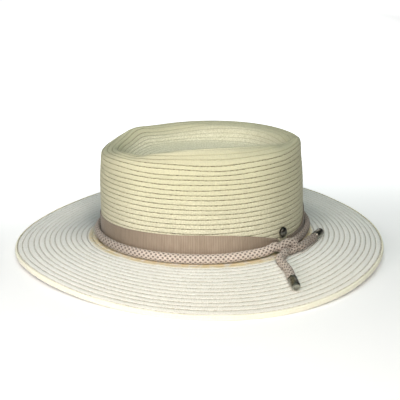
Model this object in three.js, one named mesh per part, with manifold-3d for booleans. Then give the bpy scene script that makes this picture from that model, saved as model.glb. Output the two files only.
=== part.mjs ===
// A straw hat of sewn braid: an upright crown with a sunken oval tip, a nearly level brim with its last
// row turned down, a ribbon gathered at one side, and a cord tied over it with two metal-tipped ends.
// Millimetres, +Z up. The front of the hat points along -X and the wearer's left side along -Y.
// The hat lies on its brim on the plane z = 0, centred over the origin.
import * as THREE from 'three';
import Module from 'manifold-3d';
import { mergeVertices } from 'three/addons/utils/BufferGeometryUtils.js';

// Driving sizes
const strawWall = 2.0;
const clearance = 0.3;
const crownBaseHeight = 15.1; // the crown's own zero above the resting plane
const leanSideways = -0.91; // degrees about X, the crown leans to the wearer's right
const leanForward = -0.21; // degrees about Y
const brimHalfLength = 192.8;
const brimHalfWidth = 166.8;
const brimEgg = 0.1; // the oval is this much wider behind than in the middle
const brimCorners = 1.3; // the outline is drawn in by twice this between its ends and sides
const brimArch = 1.5; // the brim bows up by this much half way out
const edgeBand = 5.6; // height of the turned-down last row
const edgeThickness = 2.2;
const edgeLap = 0.4; // the brim's upper face meets the band this far below its top
const edgeSettle = 0.25; // the soft edge lies flat on the ground where its waves are lower than this
const ribbonThickness = 0.7;
const ribbonTop = 27.0;
const ribbonFoot = 4.4;
const ribbonGap = 0.5; // between the ribbon and the straw
const ribbonTilt = 2.5; // the ribbon's upper edge climbs this much to the back
const cordDiameter = 9.2;
const cordSides = 8;
const ferruleDiameter = 8.8;
const ferruleLength = 15.5;
const studWidth = 9.0;
const studHeight = 11.2;
const studRise = 5.2;
const studAngle = -46.6; // degrees round the crown, from the back towards the left side
const studLevel = 18.6;
const knotAngle = -45.4;
const knotHeight = 4.6;
const strandDiameter = 8.6; // the cord is drawn tighter in its knot
const knotLift = 0.8; // the cord leaves the wall by this much towards the knot
const knotReach = 16; // degrees over which it does
const tailDiameter = 8.2; // the free ends are drawn thin under their ferrules
const tailSteps = 8;
const tailStraight = 2.4; // a free end leaves the knot straight for this far
const segments = 64; // steps round the hat

const degrees = THREE.MathUtils.degToRad;

// A table's rows as records with named columns.
function table(columns, rows) {
  return rows.map((values) => Object.fromEntries(columns.map((column, i) => [column, values[i]])));
}

// The crown's rows from its foot over the rim into the dip: a section for each, in the crown's own
// frame. forward and sideways shift its centre; tilt, side and saddle raise its back, its far side, and
// its front and back together; rings says how many steps lead to the next row.
const crownColumns = [
  'row', 'height', 'length', 'width', 'forward', 'sideways', 'egg', 'tilt', 'side', 'saddle', 'rings',
];
const crownSections = table(crownColumns, [
  ['foot', -1.6, 107.2, 80.6, 0, 0, 0.086, 0, 0, 0, 1],
  ['flare', -0.5, 104.7, 78.1, 0, 0, 0.086, 0, 0, 0, 1],
  ['base', 2.6, 104, 76.8, 0.8, 0, 0.086, 0, 0, 0, 1],
  ['band', 24, 104.1, 76.7, 1, 0, 0.086, 0.8, 0, 0, 1],
  ['middle', 60, 103.7, 76.6, 0.8, 0, 0.086, 1.2, 0, 0, 1],
  ['upper', 84, 102, 75.7, 0.4, 0, 0.08, 2.2, 0, -0.5, 1],
  ['shoulder', 94.8, 101.2, 73.6, 0.4, -0.5, 0.04, 2.2, -1.8, -1.5, 2],
  ['turn', 99.2, 98, 70, 1.6, -1.8, -0.08, 1, -5, -2.6, 2],
  ['crest', 100.2, 93.2, 65, 4.2, -3, -0.2, -0.5, -7, -3.2, 2],
  ['lip', 98.4, 89.4, 60.8, 4.4, -3, -0.2, -0.5, -6.6, -3, 2],
  ['slope', 90, 83, 55, 4.6, -2.4, -0.16, -0.4, -3.6, -1.6, 2],
  ['corner', 82.6, 75, 48.6, 4.6, -1.6, -0.12, -0.2, -1.2, -0.4, 2],
  ['floor', 80.6, 62, 40, 4.6, -1, -0.08, 0, 0, 0, 1],
  ['tip', 80.2, 30, 19, 4.6, -1, 0, 0, 0, 0, 1],
]);
const baseRow = 2;
const crestRow = 8;

// Pinches and swells of the crown: where they sit round the crown and along the rows, how far they
// spread, and how far they push the straw inwards and down.
const crownFolds = table(['fold', 'angle', 'spread', 'row', 'reach', 'inward', 'drop'], [
  ['front pinch', -141, 10, 8, 1.6, 3, 3],
  ['front shoulder', 168, 34, 7.8, 2.2, 1.6, 3.6],
  ['far front swell', 134, 12, 8, 1.6, -1, -3.4],
  ['side swell', -98, 24, 8, 1.4, -1, -2.2],
  ['side dent', -88, 7, 7.4, 0.8, 1.2, 0.8],
  ['back pinch', -40, 8, 8.2, 1.2, 1.6, 1.6],
  ['back corner', -18, 11, 8, 1.6, -1.5, -4.4],
  ['back bulge', -4, 30, 1.6, 2, -3.9, 0],
]);

// Waves of the brim's edge: where they sit round the hat, how far they spread and how far they rise.
const edgeWaves = table(['wave', 'angle', 'spread', 'rise'], [
  ['front', -155, 28, 4.4],
  ['back', -30, 30, 4.6],
  ['far side', 82, 40, 8],
]);

// The cord's height round the crown: it lies low at the side and climbs to the back.
const cordHeights = table(['angle', 'height'], [
  [-54, 8.2],
  [-63, 5.2],
  [-90, 4],
  [-135, 4.2],
  [-180, 5.6],
  [-270, 5],
  [-340, 6.4],
  [-380, 6.6],
  [-397, 6.6],
]);

// The cord's free ends on the brim: angle round the hat, distance out from the crown's foot, and how
// far the cord stands off the straw there.
const sideTailRoute = table(['angle', 'out', 'lift'], [
  [-58.2, 18, 0.5],
  [-59.8, 27, 0],
  [-61.3, 39, 0],
  [-63.6, 52, 0],
]);
const backTailRoute = table(['angle', 'out', 'lift'], [
  [-36.8, 13.2, 1],
  [-32.4, 12.9, 0.2],
  [-28.2, 13.4, 0],
  [-24.4, 14.2, 0],
]);

// The knot's strands, in its own frame: along the crown to the back, out from it, and up. The last two
// lead out of it to the free ends.
const strandColumns = ['along', 'out', 'up'];
const knotStrands = {
  over: table(strandColumns, [[-13, 1.6, 2.4], [-7, 3.6, 5.2], [-1, 5.6, 6.4]]),
  wrap: table(strandColumns, [
    [-4, 3.6, 7], [0.4, 6.2, 6.2], [2.8, 8, 1.8], [1.2, 8.2, -1.4], [-2.6, 6.8, -1.6],
  ]),
  under: table(strandColumns, [[11.5, 0.6, 2.2], [4, 2.2, 0.6], [-3, 4, -1.4]]),
  sideExit: table(strandColumns, [[-4, 4.4, -0.4], [-10, 6.6, -0.6], [-13.6, 9.8, -1]]),
  backExit: table(strandColumns, [[0, 5.4, -0.8], [5.2, 8.2, -0.9], [10.2, 9.8, -1]]),
};

// The strands press together in the middle, where a core fills the space between them.
const knotCore = { along: -0.6, out: 4.6, up: 1.6, radius: 3.6 };

// Frames: the crown leans a little on the brim, which lies level.
const crownFrame = new THREE.Matrix4()
  .makeTranslation(0, 0, crownBaseHeight)
  .multiply(new THREE.Matrix4().makeRotationX(degrees(leanSideways)))
  .multiply(new THREE.Matrix4().makeRotationY(degrees(leanForward)));

// How far an angle is from the middle of a fold or wave, as a multiple of its spread.
function spreadsFrom(fold, angle) {
  const turn = angle - degrees(fold.angle);
  return Math.atan2(Math.sin(turn), Math.cos(turn)) / degrees(fold.spread);
}

// The share of a fold's push that reaches a point of the rim.
function foldWeight(fold, row, angle) {
  const across = spreadsFrom(fold, angle);
  const along = (row - fold.row) / fold.reach;
  return Math.exp(-across * across - along * along);
}

// A value of the section table at a fractional row, on a smooth curve through the rows.
function sectionValue(column, row) {
  const last = crownSections.length - 1;
  const start = Math.min(Math.floor(row), last - 1);
  const t = row - start;
  const at = (index) => crownSections[Math.min(Math.max(index, 0), last)][column];
  const [before, from, to, after] = [at(start - 1), at(start), at(start + 1), at(start + 2)];
  const slopeFrom = (to - before) / 2;
  const slopeTo = (after - from) / 2;
  const t2 = t * t;
  const t3 = t2 * t;
  return from * (2 * t3 - 3 * t2 + 1) + slopeFrom * (t3 - 2 * t2 + t)
    + to * (3 * t2 - 2 * t3) + slopeTo * (t3 - t2);
}

// The crown's outside at a fractional row and an angle, in the crown's own frame.
function crownPoint(row, angle) {
  const c = Math.cos(angle);
  const s = Math.sin(angle);
  const value = (column) => sectionValue(column, row);
  const spokeX = value('length') * c;
  const spokeY = value('width') * s * (1 + value('egg') * c);
  const point = new THREE.Vector3(value('forward') + spokeX, value('sideways') + spokeY, 0);
  point.z = value('height') + value('tilt') * c + value('side') * s + value('saddle') * Math.cos(2 * angle);
  const spoke = Math.hypot(spokeX, spokeY);
  for (const fold of crownFolds) {
    const weight = foldWeight(fold, row, angle);
    point.x -= (spokeX / spoke) * fold.inward * weight;
    point.y -= (spokeY / spoke) * fold.inward * weight;
    point.z -= fold.drop * weight;
  }
  return point;
}

// The crown's outward normal there.
function crownNormal(row, angle) {
  const step = 0.02;
  const low = Math.max(row - step, 0);
  const high = Math.min(row + step, crownSections.length - 1);
  const up = crownPoint(high, angle).sub(crownPoint(low, angle));
  const round = crownPoint(row, angle + step).sub(crownPoint(row, angle - step));
  return round.cross(up).normalize();
}

// A point off the upright wall: an angle, a height above the crown's foot, and a distance out.
function wallPoint(angle, height, out) {
  let row = baseRow;
  while (row < crestRow - 1 && crownPoint(row, angle).z < height) {
    row += 0.05;
  }
  const slack = row > baseRow ? 0.025 : 0;
  const point = crownPoint(row - slack, angle);
  const outward = crownNormal(row - slack, angle).setZ(0).normalize();
  point.addScaledVector(outward, out);
  point.z = height;
  return point;
}

// Height of the edge row's lower side.
function edgeFoot(angle) {
  const waves = edgeWaves.map((wave) => wave.rise * Math.exp(-(spreadsFrom(wave, angle) ** 2)));
  const height = waves.reduce((sum, wave) => sum + wave, 0);
  return Math.max(height - edgeSettle, 0);
}

// The hat's outermost line, at a height above the edge's foot and a distance inwards.
function edgePoint(angle, inset, rise) {
  const c = Math.cos(angle);
  const s = Math.sin(angle);
  const inwards = inset + brimCorners * (1 - Math.cos(4 * angle));
  const x = (brimHalfLength - inwards) * c;
  const y = (brimHalfWidth - inwards) * s * (1 + brimEgg * c);
  return new THREE.Vector3(x, y, edgeFoot(angle) + rise);
}

// The brim's upper face: an angle and a share of the way from the crown's foot to the edge row.
function brimPoint(angle, share) {
  const inner = crownPoint(0, angle);
  const radius = Math.hypot(inner.x, inner.y);
  inner.x *= 1 + clearance / radius;
  inner.y *= 1 + clearance / radius;
  inner.applyMatrix4(crownFrame);
  const outer = edgePoint(angle, edgeThickness + clearance, edgeBand - edgeLap);
  const point = inner.lerp(outer, share);
  point.z += brimArch * 4 * share * (1 - share);
  return point;
}

// A closed mesh from rows of points, wound so that its faces point out.
function closedMesh(points, triangles) {
  const geometry = new THREE.BufferGeometry();
  const flat = points.flatMap((point) => [point.x, point.y, point.z]);
  geometry.setAttribute('position', new THREE.Float32BufferAttribute(flat, 3));
  geometry.setIndex(triangles);
  return geometry;
}

// A ring of material: loops[i][j] is point i of the cross-section at step j round the hat.
function ringMesh(loops) {
  const points = loops.flat();
  const around = loops[0].length;
  const triangles = [];
  loops.forEach((loop, i) => {
    const next = (i + 1) % loops.length;
    loop.forEach((_, j) => {
      const right = (j + 1) % around;
      const a = i * around + j;
      const b = i * around + right;
      const c = next * around + right;
      const d = next * around + j;
      triangles.push(a, b, c, a, c, d);
    });
  });
  return closedMesh(points, triangles);
}

// A shell: its outer rows from the open foot to the tip, closed in the middle, and an inner side.
function shellMesh(outer, outerTip, inner, innerTip) {
  const around = outer[0].length;
  const points = [...outer.flat(), ...inner.flat(), outerTip, innerTip];
  const innerStart = outer.length * around;
  const tipIndex = innerStart + inner.length * around;
  const triangles = [];
  const quad = (a, b, c, d) => triangles.push(a, b, c, a, c, d);
  for (let j = 0; j < around; j += 1) {
    const right = (j + 1) % around;
    for (let i = 0; i + 1 < outer.length; i += 1) {
      quad(i * around + j, i * around + right, (i + 1) * around + right, (i + 1) * around + j);
      const low = innerStart + i * around;
      quad(low + right, low + j, low + around + j, low + around + right);
    }
    quad(right, j, innerStart + j, innerStart + right);
    const top = (outer.length - 1) * around;
    triangles.push(top + j, top + right, tipIndex);
    triangles.push(innerStart + top + right, innerStart + top + j, tipIndex + 1);
  }
  return closedMesh(points, triangles);
}

const angles = Array.from({ length: segments }, (_, j) => (2 * Math.PI * j) / segments);

function crownGeometry() {
  const rows = [];
  crownSections.forEach((section, index) => {
    const last = index === crownSections.length - 1;
    for (let ring = 0; ring < (last ? 1 : section.rings); ring += 1) {
      rows.push(index + ring / section.rings);
    }
  });
  const outer = rows.map((row) => angles.map((angle) => crownPoint(row, angle)));
  const inner = rows.map((row) => angles.map((angle) => (
    crownPoint(row, angle).addScaledVector(crownNormal(row, angle), -strawWall)
  )));
  const centre = crownSections[crownSections.length - 1];
  const tip = new THREE.Vector3(centre.forward, centre.sideways, centre.height);
  const underTip = tip.clone().setZ(centre.height - strawWall);
  inner[inner.length - 1].forEach((point) => point.setZ(underTip.z));
  return shellMesh(outer, tip, inner, underTip);
}

function brimGeometry() {
  const shares = [0, 0.12, 0.3, 0.5, 0.7, 0.88, 1];
  const top = shares.map((share) => angles.map((angle) => brimPoint(angle, share)));
  const under = top.map((loop) => loop.map((point) => point.clone().setZ(point.z - strawWall)));
  return ringMesh([...top.reverse(), ...under.reverse()]);
}

// The turned-down row: a short top lap and a rounded drop. inset and rise from the hat's outer line.
const edgeProfile = table(['inset', 'rise'], [
  [2.2, 5], [1, 5.4], [0.3, 4.4], [0, 2.6], [0.1, 0.7], [0.7, 0], [1.9, 0], [2.2, 0.8],
]);

function edgeGeometry() {
  const loops = edgeProfile.map(({ inset, rise }) => angles.map((angle) => edgePoint(angle, inset, rise)));
  return ringMesh(loops.reverse());
}

// The ribbon narrows to a gathered neck on both sides of the knot: by degrees from the knot, the
// heights of its foot and top and how far its middle swells out.
const gatherColumns = ['turn', 'foot', 'top', 'swell'];
const gatherForward = table(gatherColumns, [
  [4, 5, 10, 1],
  [8, 4.6, 13, 0.8],
  [15, ribbonFoot, 17.2, 0.2],
  [23, ribbonFoot, 20.9, 0],
  [35, ribbonFoot, 24.8, 0],
  [50, ribbonFoot, ribbonTop, 0],
]);
const gatherBack = table(gatherColumns, [
  [4, 5, 9.5, 0.6],
  [12, 4.6, 9.2, 0.2],
  [20, ribbonFoot, 10.4, 0],
  [28, ribbonFoot, 15.5, 0],
  [36, ribbonFoot, 22.5, 0],
  [46, ribbonFoot, ribbonTop - 0.5, 0],
  [60, ribbonFoot, ribbonTop, 0],
]);

function gatherValue(gather, column, turn) {
  let index = 1;
  while (index < gather.length - 1 && gather[index].turn < turn) {
    index += 1;
  }
  const [from, to] = [gather[index - 1], gather[index]];
  const t = THREE.MathUtils.clamp((turn - from.turn) / (to.turn - from.turn), 0, 1);
  return THREE.MathUtils.lerp(from[column], to[column], t);
}

function ribbonGeometry() {
  const start = gatherForward[0].turn;
  const steps = segments + 8;
  const inside = [];
  const outside = [];
  const levels = [0, 0.5, 1];
  for (let j = 0; j <= steps; j += 1) {
    const spread = j / steps;
    const ease = 0.82 * spread + 0.18 * (3 * spread * spread - 2 * spread ** 3);
    const turn = start + ease * (360 - 2 * start);
    const angle = degrees(knotAngle - turn);
    const gather = turn < 180 ? gatherForward : gatherBack;
    const near = Math.min(turn, 360 - turn);
    const foot = gatherValue(gather, 'foot', near);
    const top = gatherValue(gather, 'top', near) + ribbonTilt * Math.cos(angle);
    const swell = gatherValue(gather, 'swell', near);
    inside.push(levels.map((level) => wallPoint(angle, THREE.MathUtils.lerp(foot, top, level), ribbonGap)));
    outside.push(levels.map((level) => {
      const out = ribbonGap + ribbonThickness + (level === 0.5 ? swell : 0);
      return wallPoint(angle, THREE.MathUtils.lerp(foot, top, level), out);
    }));
  }
  return stripMesh(inside, outside);
}

// A strip with two ends: its inside and outside points at each step along it.
function stripMesh(inside, outside) {
  const loops = inside.map((row, j) => [...row, ...[...outside[j]].reverse()]);
  const size = loops[0].length;
  const points = loops.flat();
  const triangles = [];
  for (let j = 0; j + 1 < loops.length; j += 1) {
    for (let i = 0; i < size; i += 1) {
      const next = (i + 1) % size;
      const a = j * size + i;
      const b = j * size + next;
      triangles.push(a, b + size, b, a, a + size, b + size);
    }
  }
  const half = size / 2;
  const last = (loops.length - 1) * size;
  for (let i = 0; i + 1 < half; i += 1) {
    const low = i;
    const high = size - 1 - i;
    triangles.push(low, high - 1, high, low, low + 1, high - 1);
    triangles.push(last + low, last + high, last + high - 1, last + low, last + high - 1, last + low + 1);
  }
  return closedMesh(points, triangles);
}

function roundSection(diameter, sides) {
  const shape = new THREE.Shape();
  for (let side = 0; side < sides; side += 1) {
    const angle = (2 * Math.PI * side) / sides;
    const [x, y] = [(diameter / 2) * Math.cos(angle), (diameter / 2) * Math.sin(angle)];
    if (side === 0) {
      shape.moveTo(x, y);
    } else {
      shape.lineTo(x, y);
    }
  }
  shape.closePath();
  return shape;
}

function tube(route, diameter, steps) {
  const path = new THREE.CatmullRomCurve3(route, false, 'centripetal');
  const section = roundSection(diameter, cordSides);
  return new THREE.ExtrudeGeometry(section, { steps, bevelEnabled: false, extrudePath: path });
}

const cordOut = ribbonGap + ribbonThickness + clearance + cordDiameter / 2;

function cordHeight(turn) {
  let index = 1;
  while (index < cordHeights.length - 1 && cordHeights[index].angle > turn) {
    index += 1;
  }
  const [from, to] = [cordHeights[index - 1], cordHeights[index]];
  const t = (turn - from.angle) / (to.angle - from.angle);
  return THREE.MathUtils.lerp(from.height, to.height, t * t * (3 - 2 * t));
}

function cordBandGeometry() {
  const start = cordHeights[0].angle;
  const end = cordHeights[cordHeights.length - 1].angle;
  const count = 56;
  const route = Array.from({ length: count + 1 }, (_, j) => {
    const turn = start + ((end - start) * j) / count;
    const fromKnot = Math.min(start - turn, turn - end);
    const lift = knotLift * Math.max(0, 1 - fromKnot / knotReach);
    return wallPoint(degrees(turn), cordHeight(turn), cordOut + lift);
  });
  return tube(route, cordDiameter, count);
}

// The knot's own frame on the crown.
const knotFoot = wallPoint(degrees(knotAngle), knotHeight, cordOut);
const knotOut = crownNormal(2.5, degrees(knotAngle)).setZ(0).normalize();
const knotUp = new THREE.Vector3(0, 0, 1);
const knotAlong = knotUp.clone().cross(knotOut);

function knotPoint({ along, out, up }) {
  return knotFoot.clone()
    .addScaledVector(knotAlong, along)
    .addScaledVector(knotOut, out)
    .addScaledVector(knotUp, up);
}

const wasm = await Module();
wasm.setup();

function solid(geometry) {
  const bare = geometry.clone();
  bare.deleteAttribute('normal');
  bare.deleteAttribute('uv');
  const merged = mergeVertices(bare, 1e-4);
  const vertProperties = new Float32Array(merged.attributes.position.array);
  const triVerts = new Uint32Array(merged.index.array);
  return new wasm.Manifold(new wasm.Mesh({ numProp: 3, vertProperties, triVerts }));
}

function fromSolid(body) {
  const { vertProperties, triVerts, numProp } = body.getMesh();
  const geometry = new THREE.BufferGeometry();
  const count = vertProperties.length / numProp;
  const position = new Float32Array(count * 3);
  for (let i = 0; i < count; i += 1) {
    position.set(vertProperties.subarray(i * numProp, i * numProp + 3), i * 3);
  }
  geometry.setAttribute('position', new THREE.BufferAttribute(position, 3));
  geometry.setIndex(new THREE.BufferAttribute(new Uint32Array(triVerts), 1));
  return geometry;
}

function knotGeometry() {
  const bodies = Object.values(knotStrands).map((strand) => (
    solid(tube(strand.map(knotPoint), strandDiameter, 2 * (strand.length - 1)))
  ));
  const middle = knotPoint(knotCore);
  const core = wasm.Manifold.sphere(knotCore.radius, 12).translate([middle.x, middle.y, middle.z]);
  const joined = bodies.reduce((sum, body) => sum.add(body), core);
  const [whole] = joined.decompose().sort((a, b) => b.volume() - a.volume());
  return fromSolid(whole);
}

// A free end's line: from the face where its strand leaves the knot, down to the brim and along it.
function tailRoute(exit, rows) {
  const onBrim = rows.map(({ angle, out, lift }) => {
    const turn = degrees(angle);
    const inner = brimPoint(turn, 0);
    const outer = brimPoint(turn, 1);
    const width = Math.hypot(outer.x - inner.x, outer.y - inner.y);
    const point = brimPoint(turn, out / width);
    point.z += ferruleDiameter / 2 + clearance + lift;
    return point;
  });
  const [before, last] = exit.slice(-2).map((row) => knotPoint(row).applyMatrix4(crownFrame));
  const direction = last.clone().sub(before).normalize();
  const start = last.clone().addScaledVector(direction, 2 * clearance);
  const straight = last.clone().addScaledVector(direction, tailStraight);
  return [start, straight, ...onBrim];
}

const sideTail = tailRoute(knotStrands.sideExit, sideTailRoute);
const backTail = tailRoute(knotStrands.backExit, backTailRoute);

// A ferrule: a plain cup over the cord's end, with rounded rims.
function ferruleMesh(route, material) {
  const end = route[route.length - 1];
  const before = route[route.length - 2];
  const outer = ferruleDiameter / 2;
  const profile = [
    [0, 0], [outer - 0.6, 0], [outer, 0.6], [outer, ferruleLength - 1.2],
    [outer - 0.4, ferruleLength - 0.5], [outer - 1.2, ferruleLength], [0, ferruleLength],
  ].map(([radius, along]) => new THREE.Vector2(radius, along));
  const mesh = new THREE.Mesh(new THREE.LatheGeometry(profile, 16), material);
  const direction = end.clone().sub(before).normalize();
  mesh.quaternion.setFromUnitVectors(new THREE.Vector3(0, 1, 0), direction);
  mesh.position.copy(end).addScaledVector(direction, clearance);
  return mesh;
}

function studMesh(material) {
  const half = studWidth / 2;
  const profile = [
    [0, 0], [half * 0.7, 0], [half * 0.76, 0.9], [half, 1.6], [half, 2.6],
    [half * 0.86, 3.9], [half * 0.5, 4.9], [0, studRise],
  ].map(([radius, along]) => new THREE.Vector2(radius, along));
  const mesh = new THREE.Mesh(new THREE.LatheGeometry(profile, 14), material);
  const angle = degrees(studAngle);
  const out = crownNormal(3, angle).setZ(0).normalize();
  const up = new THREE.Vector3(0, 0, 1);
  const across = out.clone().cross(up);
  mesh.quaternion.setFromRotationMatrix(new THREE.Matrix4().makeBasis(across, out, up));
  mesh.position.copy(wallPoint(angle, studLevel, ribbonGap));
  mesh.scale.set(1, 1, studHeight / studWidth);
  return mesh;
}

// Finishes
const braid = new THREE.MeshStandardMaterial({ color: 0xe9e0bd, roughness: 0.8, metalness: 0 });
const grosgrain = new THREE.MeshStandardMaterial({ color: 0xa39480, roughness: 0.6, metalness: 0 });
const braidedCord = new THREE.MeshStandardMaterial({ color: 0xcbb8a6, roughness: 0.7, metalness: 0 });
const darkMetal = new THREE.MeshStandardMaterial({ color: 0x8b8a84, roughness: 0.2, metalness: 1 });

function named(name, mesh) {
  mesh.name = name;
  return mesh;
}

const hat = new THREE.Group();
const onCrown = new THREE.Group();
onCrown.applyMatrix4(crownFrame);
hat.add(onCrown);

hat.add(named('brim', new THREE.Mesh(brimGeometry(), braid)));
hat.add(named('edge_row', new THREE.Mesh(edgeGeometry(), braid)));
onCrown.add(named('crown', new THREE.Mesh(crownGeometry(), braid)));
onCrown.add(named('ribbon_band', new THREE.Mesh(ribbonGeometry(), grosgrain)));
onCrown.add(named('cord_band', new THREE.Mesh(cordBandGeometry(), braidedCord)));
onCrown.add(named('cord_knot', new THREE.Mesh(knotGeometry(), braidedCord)));
onCrown.add(named('stud', studMesh(darkMetal)));
hat.add(named('cord_tail_side', new THREE.Mesh(tube(sideTail, tailDiameter, tailSteps), braidedCord)));
hat.add(named('cord_tail_back', new THREE.Mesh(tube(backTail, tailDiameter, tailSteps), braidedCord)));
hat.add(named('ferrule_side', ferruleMesh(sideTail, darkMetal)));
hat.add(named('ferrule_back', ferruleMesh(backTail, darkMetal)));

export default hat;
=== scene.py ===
"""A straw hat of sewn braid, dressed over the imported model's frame.

Metres in the scene, millimetres in the tables. The front of the hat points along -X and the wearer's
left side along -Y; the hat lies on its brim at z = 0.
"""
from __future__ import annotations

import logging
import math
from dataclasses import dataclass, field
from enum import Enum
from typing import Any

import bpy
import numpy as np
from mathutils import Matrix, Quaternion, Vector

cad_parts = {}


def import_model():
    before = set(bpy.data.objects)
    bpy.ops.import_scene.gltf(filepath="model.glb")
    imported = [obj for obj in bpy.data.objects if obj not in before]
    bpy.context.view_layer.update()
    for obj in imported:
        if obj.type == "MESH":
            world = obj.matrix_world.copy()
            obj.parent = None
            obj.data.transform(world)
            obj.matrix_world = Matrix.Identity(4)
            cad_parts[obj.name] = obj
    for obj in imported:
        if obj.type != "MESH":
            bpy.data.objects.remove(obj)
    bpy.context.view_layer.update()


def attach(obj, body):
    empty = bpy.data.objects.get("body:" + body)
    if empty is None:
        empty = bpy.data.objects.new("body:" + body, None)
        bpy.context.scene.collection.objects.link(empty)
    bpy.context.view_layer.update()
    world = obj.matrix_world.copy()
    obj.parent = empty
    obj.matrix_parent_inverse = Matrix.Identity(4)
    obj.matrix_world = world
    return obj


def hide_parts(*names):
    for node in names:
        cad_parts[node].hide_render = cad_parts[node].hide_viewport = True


Colour = tuple[float, float, float]
Row = tuple[float, ...]
Span = tuple[float, float]

LOG = logging.getLogger("straw_hat")
MM = 0.001
SEAM_GAP = 2e-6  # metres; points closer than this are merged
LEAST_LENGTH = 1e-9  # keeps a direction of no length from dividing by nought
LEAST_SPOKE = 1e-6  # the same at the middle of the tip
STRETCH_STEPS = 24  # points between two points of the cord's route, before it is spaced
PHOTO_PIXELS = 400
ROOT_BODY = "root"

# Sizes that the solids share, in millimetres
WALL = 2.0
INNER_LIFT = 0.2  # the crown's inner side lies this much closer, for the relief of its braid
CLEARANCE = 0.3
CROWN_LIFT = 15.1  # the crown's own zero above the resting plane
LEAN_SIDEWAYS = -0.91  # degrees about X
LEAN_FORWARD = -0.21  # degrees about Y
BRIM_HALF_LENGTH = 192.8
BRIM_HALF_WIDTH = 166.8
BRIM_EGG = 0.1  # the oval is this much wider behind than in the middle
BRIM_CORNERS = 1.3  # the outline is drawn in by twice this between its ends and sides
BRIM_ARCH = 1.5  # the brim bows up by this much half way out
EDGE_BAND = 5.6  # height of the turned-down last row
EDGE_LAP = 0.4  # the brim's upper face meets that row this far below its top
EDGE_THICKNESS = 2.2
EDGE_SETTLE = 0.25  # the edge lies flat on the ground where its waves are lower than this
RIBBON_GAP = 0.5  # between the ribbon and the straw
RIBBON_THICKNESS = 0.7
RIBBON_TILT = 2.5  # the ribbon's upper edge climbs this much to the back
CORD_DIAMETER = 9.2
FERRULE_DIAMETER = 8.8
FERRULE_LENGTH = 15.5
STUD_WIDTH = 9.0
STUD_HEIGHT = 11.2
STUD_ANGLE = -46.6  # degrees round the crown, from the back towards the left side
STUD_LEVEL = 18.6
KNOT_ANGLE = -45.4
KNOT_HEIGHT = 4.6
KNOT_LIFT = 0.8  # the cord leaves the wall by this much towards the knot
KNOT_REACH = 16  # degrees over which it does
TIP_SINK = 0.4  # the tip sinks by this much to its middle

# Rows of the table of sections, some of them between two lines
BASE_ROW = 2.0
KNOT_ROW = 2.5
BAND_ROW = 3
RIM_ROW = 6.9
INNER_ROW = 9.0
FLOOR_ROW = 12.0
CENTRE_ROW = 13.0

# What the fixed scatter of strands and seams is worked out from
HASH_SHIFT = 1.37
HASH_STEP = 12.9898
HASH_SALT = 78.233
HASH_STRETCH = 43758.5453

# Height, length, width, forward, sideways, egg, tilt, side, saddle of each section of the crown
CROWN_SECTIONS = np.array([
    [-1.6, 107.2, 80.6, 0, 0, 0.086, 0, 0, 0],
    [-0.5, 104.7, 78.1, 0, 0, 0.086, 0, 0, 0],
    [2.6, 104, 76.8, 0.8, 0, 0.086, 0, 0, 0],
    [24, 104.1, 76.7, 1, 0, 0.086, 0.8, 0, 0],
    [60, 103.7, 76.6, 0.8, 0, 0.086, 1.2, 0, 0],
    [84, 102, 75.7, 0.4, 0, 0.08, 2.2, 0, -0.5],
    [94.8, 101.2, 73.6, 0.4, -0.5, 0.04, 2.2, -1.8, -1.5],
    [99.2, 98, 70, 1.6, -1.8, -0.08, 1, -5, -2.6],
    [100.2, 93.2, 65, 4.2, -3, -0.2, -0.5, -7, -3.2],
    [98.4, 89.4, 60.8, 4.4, -3, -0.2, -0.5, -6.6, -3],
    [90, 83, 55, 4.6, -2.4, -0.16, -0.4, -3.6, -1.6],
    [82.6, 75, 48.6, 4.6, -1.6, -0.12, -0.2, -1.2, -0.4],
    [80.6, 62, 40, 4.6, -1, -0.08, 0, 0, 0],
    [80.2, 30, 19, 4.6, -1, 0, 0, 0, 0],
])

# Angle, spread, row, reach, inward push and drop of each fold of the crown
CROWN_FOLDS = (
    (-141, 10, 8, 1.6, 3, 3),
    (168, 34, 7.8, 2.2, 1.6, 3.6),
    (134, 12, 8, 1.6, -1, -3.4),
    (-98, 24, 8, 1.4, -1, -2.2),
    (-88, 7, 7.4, 0.8, 1.2, 0.8),
    (-40, 8, 8.2, 1.2, 1.6, 1.6),
    (-18, 11, 8, 1.6, -1.5, -4.4),
    (-4, 30, 1.6, 2, -3.9, 0),
)

# Angle, spread and rise of each wave of the brim's edge
EDGE_WAVES = ((-155, 28, 4.4), (-30, 30, 4.6), (82, 40, 8))

# Angle and height of the cord round the crown
CORD_HEIGHTS = np.array([
    [-54, 8.2], [-63, 5.2], [-90, 4], [-135, 4.2], [-180, 5.6], [-270, 5], [-340, 6.4], [-380, 6.6],
    [-397, 6.6],
])

# Angle, distance out from the crown's foot, and lift of each free end on the brim
SIDE_TAIL = ((-58.2, 18, 0.5), (-59.8, 27, 0), (-61.3, 39, 0), (-63.6, 52, 0))
BACK_TAIL = ((-36.8, 13.2, 1), (-32.4, 12.9, 0.2), (-28.2, 13.4, 0), (-24.4, 14.2, 0))

# Turn from the knot, foot and top of the gathered ribbon, forwards and backwards of it
GATHER_FORWARD = np.array([
    [4, 5, 10], [8, 4.6, 13], [15, 4.4, 17.2], [23, 4.4, 20.9], [35, 4.4, 24.8], [50, 4.4, 27],
])
GATHER_BACK = np.array([
    [4, 5, 9.5], [12, 4.6, 9.2], [20, 4.4, 10.4], [28, 4.4, 15.5], [36, 4.4, 22.5], [46, 4.4, 26.5],
    [60, 4.4, 27],
])


class Slot(Enum):
    """The record's material slots."""

    STRAW = "straw"
    RIBBON = "ribbon"
    CORD = "cord"
    METAL = "dark_metal"


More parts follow.
